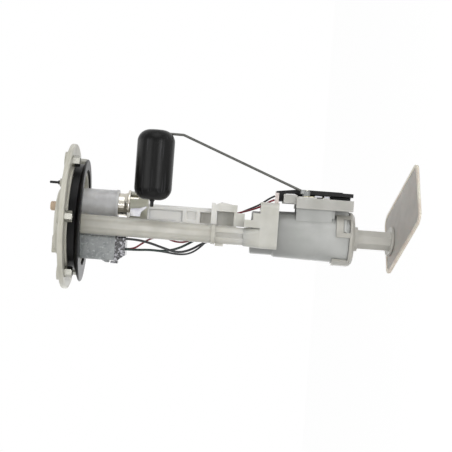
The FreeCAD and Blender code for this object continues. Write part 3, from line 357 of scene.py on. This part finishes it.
def printedCard(spec):
    material, tree = newMaterial(spec["name"])
    place = objectPlace(tree)
    pivotY, pivotZ = spec["pivot"]
    centre = add(tree, "ShaderNodeMapping", {"Location": (0, -pivotY * mm, -pivotZ * mm), "Scale": (0, 1, 1)},
                 {"Vector": place})
    reach = add(tree, "ShaderNodeVectorMath", {"operation": "LENGTH"}, {0: centre.outputs["Vector"]})
    sides = [add(tree, "ShaderNodeMath", {"operation": test, 1: radius * mm}, {0: reach.outputs["Value"]})
             for test, radius in zip(("GREATER_THAN", "LESS_THAN"), spec["radii"])]
    band = add(tree, "ShaderNodeMath", {"operation": "MULTIPLY"},
               {0: sides[0].outputs[0], 1: sides[1].outputs[0]})
    colour = blend(tree, band.outputs[0], spec["base"], spec["ink"])
    grain = noise(tree, place, spec["grain"], spec["grainDetail"])
    skin = skinOf(tree, grain, spec["bump"], spec["bumpDepth"])
    shader = add(tree, "ShaderNodeBsdfPrincipled", {"Roughness": spec["roughness"]},
                 {"Base Color": colour, "Normal": skin})
    closeTree(tree, shader)
    return material


# Woven nylon: a dull beige cloth with soft stains. Its threads are about 2 mm apart, far coarser than the
# real 0.1 mm, so that the weave shows. The wave texture repeats after pi / 10 of its unit
nylonWoven = {
    "name": "nylonWoven", "thread": "#c3beb7", "gap": "#908b85", "spacing": 1.974, "wavePeriod": math.pi / 10,
    "roughness": 0.6, "sheen": 0.15, "seep": 0.1, "seepDepth": 1.0, "stain": 14.0, "stainDetail": 5.0,
    "bump": 0.35, "bumpDepth": 0.15,
}


def woven(spec):
    material, tree = newMaterial(spec["name"])
    place = add(tree, "ShaderNodeUVMap", {"uv_map": "weave"}).outputs["UV"]
    scale = perMm(spec["spacing"]) * spec["wavePeriod"]
    warp, weft = [add(tree, "ShaderNodeTexWave", {"bands_direction": way, "Scale": scale}, {"Vector": place})
                  for way in ("X", "Y")]
    cross = add(tree, "ShaderNodeMath", {"operation": "MAXIMUM"},
                {0: warp.outputs["Fac"], 1: weft.outputs["Fac"]})
    stain = noise(tree, place, spec["stain"], spec["stainDetail"])
    share = add(tree, "ShaderNodeMath", {"operation": "MULTIPLY"}, {0: cross.outputs[0], 1: stain})
    colour = blend(tree, share.outputs[0], spec["gap"], spec["thread"])
    skin = skinOf(tree, cross.outputs[0], spec["bump"], spec["bumpDepth"])
    settings = {"Roughness": spec["roughness"], "Sheen Weight": spec["sheen"],
                "Subsurface Weight": spec["seep"], "Subsurface Scale": spec["seepDepth"] * mm}
    shader = add(tree, "ShaderNodeBsdfPrincipled", settings, {"Base Color": colour, "Normal": skin})
    closeTree(tree, shader)
    return material


# PVC insulation, extruded: a smooth skin with a soft gloss and slow changes of shade
pvcSkin = {"roughness": 0.3, "cloud": 5.0, "cloudDetail": 3.0, "bump": 0.08, "bumpDepth": 0.1}
pvcBlack = dict(pvcSkin, name="pvcBlackExtruded", colour="#17181a", shade="#26282b")
pvcGreen = dict(pvcSkin, name="pvcGreenExtruded", colour="#16332b", shade="#101e1b")
pvcRed = dict(pvcSkin, name="pvcRedExtruded", colour="#8e2230", shade="#6c1622")


def insulation(spec):
    material, tree = newMaterial(spec["name"])
    cloud = noise(tree, objectPlace(tree), spec["cloud"], spec["cloudDetail"])
    colour = blend(tree, cloud, spec["colour"], spec["shade"])
    skin = skinOf(tree, cloud, spec["bump"], spec["bumpDepth"])
    shader = add(tree, "ShaderNodeBsdfPrincipled", {"Roughness": spec["roughness"]},
                 {"Base Color": colour, "Normal": skin})
    closeTree(tree, shader)
    return material


# Leads: the same routes as their tubes, as one smooth curve each
leadCurve = {"roundness": 5, "smoothness": 8, "order": 3}
leads = {
    "lead_black": {
        "piece": "blackLead", "radius": 0.95, "length": 105.2, "finish": pvcBlack, "slot": "lead_black",
        "points": [
            (-14.6, -9.5, -44.6), (-14.6, -9.5, -53.0), (-16.4, -9.6, -63.5), (-19.8, -9.4, -75.0),
            (-22.8, -8.0, -86.0), (-20.0, -3.4, -96.0), (-14.0, 2.0, -105.0), (-9.8, 4.8, -115.0),
            (-8.6, 6.6, -126.0), (-9.6, 6.3, -135.0), (-9.6, 6.3, -143.4)]},
    "lead_green": {
        "piece": "greenLead", "radius": 0.95, "length": 105.7, "finish": pvcGreen, "slot": "lead_green",
        "points": [
            (-23.0, -5.0, -44.6), (-23.0, -5.0, -52.5), (-22.0, -5.0, -63.5), (-22.5, -4.4, -75.0),
            (-19.6, -1.2, -86.0), (-14.4, 3.0, -95.0), (-8.4, 7.4, -104.0), (-4.0, 9.6, -115.0),
            (-2.2, 9.2, -126.0), (-3.0, 6.6, -135.5), (-3.0, 6.3, -143.4)]},
    "lead_red": {
        "piece": "redLead", "radius": 0.75, "length": 140.4, "finish": pvcRed, "slot": "lead_red",
        "points": [
            (-22.6, -2.2, -44.6), (-22.6, -2.2, -50.5), (-17.2, -3.2, -57.5), (-12.4, 0.6, -64.5),
            (-11.0, 3.2, -74.0), (-14.8, 2.8, -84.0), (-13.6, 5.6, -94.0), (-7.0, 12.4, -102.0),
            (2.6, 14.6, -111.0), (9.4, 14.4, -122.0), (12.9, 12.4, -133.5), (15.6, 7.0, -142.0),
            (18.0, 1.4, -148.0), (20.6, -3.4, -152.4), (23.2, -7.0, -156.2), (24.8, -8.1, -159.8)]},
    "lead_sender": {
        "piece": "senderLead", "radius": 0.75, "length": 146.0, "finish": pvcBlack, "slot": "lead_black",
        "points": [
            (-22.8, 1.4, -44.6), (-22.8, 1.4, -53.0), (-22.4, 0.8, -64.0), (-22.9, -0.2, -75.5),
            (-24.4, 0.0, -86.5), (-23.0, 2.2, -96.0), (-17.0, 6.8, -104.0), (-8.4, 12.8, -111.0),
            (1.4, 17.0, -118.0), (8.9, 17.0, -127.0), (13.8, 14.6, -135.5), (17.4, 9.0, -143.0),
            (20.2, 3.4, -148.6), (23.2, -1.6, -152.6), (26.0, -6.2, -156.4), (27.8, -8.1, -159.8)]},
}


def makeLeads(materials):
    for node, spec in leads.items():
        curve = bpy.data.curves.new(spec["piece"], "CURVE")
        curve.dimensions = "3D"
        curve.bevel_depth = spec["radius"] * mm
        curve.bevel_resolution = leadCurve["roundness"]
        curve.resolution_u = leadCurve["smoothness"]
        curve.use_fill_caps = True
        spline = curve.splines.new("NURBS")
        spline.points.add(len(spec["points"]) - 1)
        for point, at in zip(spline.points, spec["points"]):
            point.co = (at[0] * mm, at[1] * mm, at[2] * mm, 1.0)
        spline.order_u = leadCurve["order"]
        spline.use_endpoint_u = True
        curve.materials.append(materials[spec["finish"]["name"]])
        lead = finishedObject(spec["piece"], curve)
        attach(lead, "module")
        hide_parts(node)


# Strainer sock: two crowned sheets of mesh between the welded rims. Three cuts, given in degrees, take each
# corner round. A crease is a line a * u + b * v = c across the sheet, with its depth, where u and v run from
# -1 to 1
sock = {
    "width": 52.0, "length": 73.1, "corner": 4.9, "cornerCuts": (20.0, 45.0, 70.0), "rows": (36, 48),
    "halfThickness": 1.55, "edgeHeight": 0.55, "leastHeight": 0.3, "cloth": 0.25,
    "crownPower": 2.6, "crownRise": 0.7, "creaseWidth": 0.07, "creaseShare": 0.6,
    "creases": ((1.0, 0.62, 0.35, 0.35), (0.7, -0.85, -0.1, 0.3), (0.35, 1.0, -0.45, 0.22)),
    "centre": (16.35, -16.12, -261.04), "spin": 37.25, "lean": 10.34, "leanTowards": -55.34,
}


def sockPlace():
    towards = math.radians(sock["leanTowards"])
    axis = Vector((-math.sin(towards), math.cos(towards), 0.0))
    centre = Matrix.Translation([c * mm for c in sock["centre"]])
    lean = Matrix.Rotation(math.radians(sock["lean"]), 4, axis)
    return centre @ lean @ Matrix.Rotation(math.radians(sock["spin"]), 4, "Z")


def roundSockCorners(bm, halfW, halfL):
    corner = sock["corner"] * mm
    for sx in (-1, 1):
        for sy in (-1, 1):
            middle = Vector((sx * (halfW - corner), sy * (halfL - corner), 0.0))
            for turn in sock["cornerCuts"]:
                way = Vector((sx * math.cos(math.radians(turn)), sy * math.sin(math.radians(turn)), 0.0))
                bmesh.ops.bisect_plane(bm, geom=bm.verts[:] + bm.edges[:] + bm.faces[:], dist=1e-7,
                                       plane_co=middle + way * corner, plane_no=way, clear_outer=True)


def sockHeight(u, v):
    crown = max(0.0, 1 - abs(u) ** sock["crownPower"]) * max(0.0, 1 - abs(v) ** sock["crownPower"])
    crease = 0.0
    for a, b, c, depth in sock["creases"]:
        away = (a * u + b * v - c) / math.hypot(a, b)
        crease += depth * math.exp(-(away / sock["creaseWidth"]) ** 2) * crown
    rise = (sock["halfThickness"] - sock["edgeHeight"]) * crown ** sock["crownRise"]
    return max(sock["edgeHeight"] + rise - crease * sock["creaseShare"], sock["leastHeight"]) * mm


def makeSock(material, name, side):
    halfW, halfL = sock["width"] / 2 * mm, sock["length"] / 2 * mm
    bm = bmesh.new()
    across, along = sock["rows"]
    bmesh.ops.create_grid(bm, x_segments=across, y_segments=along, size=1.0, calc_uvs=False)
    bmesh.ops.scale(bm, vec=(halfW, halfL, 1.0), verts=bm.verts)
    roundSockCorners(bm, halfW, halfL)
    layer = bm.loops.layers.uv.new("weave")
    for face in bm.faces:
        for loop in face.loops:
            loop[layer].uv = (loop.vert.co.x, loop.vert.co.y)
    for vert in bm.verts:
        vert.co.z = side * sockHeight(vert.co.x / halfW, vert.co.y / halfL)
    bmesh.ops.transform(bm, matrix=sockPlace(), verts=bm.verts)
    if side < 0:
        bmesh.ops.reverse_faces(bm, faces=bm.faces)
    mesh = finishedMesh(name, bm, smooth=True)
    mesh.materials.append(material)
    sheet = finishedObject(name, mesh)
    thick = sheet.modifiers.new("cloth", "SOLIDIFY")
    thick.thickness = sock["cloth"] * mm
    thick.offset = -1.0
    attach(sheet, "module")
    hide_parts("strainer_mesh")


# Two small moulded forms that the photograph shows: the face that nearly fills the rail's long pocket, and
# the heel that carries the sender's bracket below the pump case's walls. Each is a block with a stepped front
smallForms = {
    "railPanel": {"low": (2.1, -1.0, -87.9), "high": (10.9, 5.5, -61.0), "finish": acetalCarrier,
                  "slot": "carrier_white", "step": 1.1, "sink": 0.35, "edge": 0.25},
    "caseHeel": {"low": (14.6, -8.0, -219.4), "high": (26.0, 8.0, -207.9), "finish": nylonCase,
                 "slot": "case_grey", "step": 1.6, "sink": 0.5, "edge": 0.25},
}


def makeSmallForms(materials):
    for name, spec in smallForms.items():
        low, high = Vector(spec["low"]) * mm, Vector(spec["high"]) * mm
        bm = bmesh.new()
        bmesh.ops.create_cube(bm, size=1.0)
        bmesh.ops.scale(bm, vec=high - low, verts=bm.verts)
        bmesh.ops.translate(bm, vec=(low + high) / 2, verts=bm.verts)
        front = [face for face in bm.faces if face.normal.y < -0.9]  # the side towards the camera
        bmesh.ops.inset_region(bm, faces=front, thickness=spec["step"] * mm, depth=-spec["sink"] * mm)
        bmesh.ops.bevel(bm, geom=bm.edges[:], offset=spec["edge"] * mm, affect="EDGES", segments=2,
                        profile=0.5, material=-1, clamp_overlap=True)
        mesh = finishedMesh(name, bm)
        mesh.materials.append(materials[spec["finish"]["name"]])
        form = finishedObject(name, mesh)
        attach(form, "module")


# Coil springs: each is a smooth copy of its node's coil, listed with the joint that moves the piece it pushes
# on, its still end and a share kept
springs = {
    "regulatorCoil": {"node": "regulator_spring", "joint": "regulator_valve_travel", "still": -52.3,
                      "keep": 0.81},
    "checkCoil": {"node": "check_spring", "joint": "check_valve_lift", "still": -134.85, "keep": 0.634},
    "leftBrushCoil": {"node": "brush_spring_left", "joint": "left_brush_slide", "still": -149.05,
                      "keep": 0.63},
    "rightBrushCoil": {"node": "brush_spring_right", "joint": "right_brush_slide", "still": -149.05,
                       "keep": 0.63},
}


def makeSprings(material):
    for name, spec in springs.items():
        bm = bmesh.new()
        bm.from_mesh(nodes[spec["node"]].data)
        bmesh.ops.remove_doubles(bm, verts=bm.verts, dist=0.001 * mm)
        mesh = finishedMesh(name, bm, smooth=True)
        mesh.materials.append(material)
        coil = finishedObject(name, mesh)
        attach(coil, "module")
        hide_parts(spec["node"])
        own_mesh(coil)


# What each node that is carried over from the solids is made of. The leads, the mesh and the springs are
# replaced by pieces of their own
finishOf = {
    "flange_plate": acetalFlange, "flange_collars": zincPlated, "tank_gasket": nitrileMoulded,
    "outlet_nipple": nylonPort, "vent_nipple": nylonBlack, "connector_pins": brassTinned,
    "inner_connector": nylonClear, "wire_plug": nylonPlug, "plug_terminals": brassTinned,
    "regulator_holder": acetalHolder, "regulator_seat_can": steelPressed,
    "regulator_spring_can": steelPressed, "regulator_diaphragm": nitrileMoulded,
    "regulator_valve": zincPlated, "regulator_o_rings": nitrileMoulded, "regulator_cover": acetalOliveShaded,
    "regulator_clip": acetalGloss, "fuel_tube": acetalTube,
    "outlet_o_ring": nitrileMoulded, "lower_carrier": acetalCarrier, "pump_case": nylonCase,
    "pump_can": steelDrawn, "pump_top_cover": phenolicInner, "pump_terminals": brassTinned,
    "check_valve": phenolicInner, "pump_chamber": phenolicInner, "pump_inlet_cover": phenolicInner,
    "pump_cushion": nitrileMoulded, "upper_bush": bronzeSintered, "lower_bush": bronzeSintered,
    "motor_magnets": ferriteSintered, "rotor_shaft": steelDrawn, "armature": ironLaminated,
    "commutator": copperTurned, "impeller": phenolicInner, "brush_left": carbonPressed,
    "brush_right": carbonPressed, "end_cap": acetalCap, "strainer_neck": nylonNeck, "strainer_rim": nylonRim,
    "sender_bracket": acetalBracket, "sender_frame": nylonBlack, "resistor_card": cardPrint,
    "sender_contacts": acetalGloss, "sender_terminal": nylonPost, "pivot_pin": zincPlated,
    "float_hub": nylonHub, "float_arm": steelWire, "wiper": brassTinned, "float": floatFoam,
}

# Which function makes which materials
makers = {
    moulded: (acetalFlange, acetalTube, acetalCarrier, acetalBracket, acetalHolder, acetalOliveShaded, acetalCap,
              acetalGloss, nylonCase, nylonNeck, nylonClear, nylonRim, nylonHub, nylonPost, nylonPort,
              nylonBlack, nylonPlug, phenolicInner, carbonPressed, ferriteSintered),
    metal: (zincPlated, steelPressed, steelDrawn, steelWire, springWire, brassTinned, bronzeSintered,
            copperTurned, ironLaminated),
    rubber: (nitrileMoulded,),
    foam: (floatFoam,),
    printedCard: (cardPrint,),
    woven: (nylonWoven,),
    insulation: (pvcBlack, pvcGreen, pvcRed),
}


def makeMaterials():
    made = {}
    for maker, specs in makers.items():
        for spec in specs:
            made[spec["name"]] = maker(spec)
    for node, spec in finishOf.items():
        mesh = nodes[node].data
        mesh.materials.clear()
        mesh.materials.append(made[spec["name"]])
    return made


materials = makeMaterials()
print("materials made:", len(materials))
makeLeads(materials)
print("leads laid")
makeSock(materials["nylonWoven"], "sockOuter", -1)
makeSock(materials["nylonWoven"], "sockInner", 1)
print("strainer sock made")
makeSmallForms(materials)
print("small forms made")
makeSprings(materials["springSteelDrawn"])
print("springs made")


# Studio: six wide soft lamps and one small key lamp for crisp highlights, a pale floor well below the hanging
# module, and a surround that is white only where it is seen. A lamp is its name, place, size and watts
studio = {
    "lamps": (
        ("keyLamp", (-0.017, -1.9, 0.03), 0.05, 1.1),
        ("leftLamp", (0.1, -1.05, 0.75), 0.9, 5.0),
        ("rightLamp", (0.15, -1.05, -0.7), 0.5, 3.5),
        ("topLamp", (1.2, -0.6, -0.1), 1.0, 4.5),
        ("lowLamp", (-1.1, -0.8, -0.1), 1.2, 3.0),
        ("skyLamp", (-0.15, 0.35, 1.25), 1.2, 4.0),
        ("backLamp", (-0.5, 1.4, 0.1), 1.2, 4.0),
    ),
    "aim": (0.0, 0.0, -0.12),
    "ambient": 0.42, "floorZ": -0.85, "floorSize": 9.0, "floorColour": "#f6f6f6", "floorGlow": 0.6,
}


def seenDirectly(tree):
    path = add(tree, "ShaderNodeLightPath")
    first = add(tree, "ShaderNodeMath", {"operation": "MAXIMUM"},
                {0: path.outputs["Is Camera Ray"], 1: path.outputs["Is Glossy Ray"]})
    return add(tree, "ShaderNodeMath", {"operation": "MAXIMUM"},
               {0: first.outputs[0], 1: path.outputs["Is Transmission Ray"]}).outputs[0]


def makeLamps():
    for name, place, size, power in studio["lamps"]:
        lamp = bpy.data.lights.new(name, "AREA")
        lamp.shape = "DISK"
        lamp.size = size
        lamp.energy = power
        piece = finishedObject(name, lamp)
        piece.location = place
        piece.rotation_euler = (Vector(studio["aim"]) - Vector(place)).to_track_quat("-Z", "Y").to_euler()


def makeSurround():
    world = bpy.data.worlds.new("studioWorld")
    world.use_nodes = True
    tree = world.node_tree
    tree.nodes.clear()
    level = between(tree, seenDirectly(tree), studio["ambient"], 1.0)
    sky = add(tree, "ShaderNodeBackground", {"Color": (1, 1, 1, 1)}, {"Strength": level})
    add(tree, "ShaderNodeOutputWorld", None, {"Surface": sky.outputs[0]})
    bpy.context.scene.world = world


# White paper, matt: it glows a little where it is seen, so that it stays as pale as the surround
def makeFloor():
    bm = bmesh.new()
    bmesh.ops.create_grid(bm, x_segments=1, y_segments=1, size=studio["floorSize"])
    bmesh.ops.translate(bm, vec=(0, 0, studio["floorZ"]), verts=bm.verts)
    mesh = finishedMesh("studioFloor", bm)
    material, tree = newMaterial("paperMatt")
    paper = add(tree, "ShaderNodeBsdfDiffuse", {"Color": linear(studio["floorColour"])})
    level = add(tree, "ShaderNodeMath", {"operation": "MULTIPLY", 1: studio["floorGlow"]},
                {0: seenDirectly(tree)})
    glow = add(tree, "ShaderNodeEmission", None, {"Strength": level.outputs[0]})
    closeTree(tree, add(tree, "ShaderNodeAddShader", None, {0: paper.outputs[0], 1: glow.outputs[0]}))
    mesh.materials.append(material)
    finishedObject("studioFloor", mesh)


makeLamps()
makeSurround()
makeFloor()
bpy.context.scene.view_settings.view_transform = "Standard"
print("studio set")

bpy.context.view_layer.update()
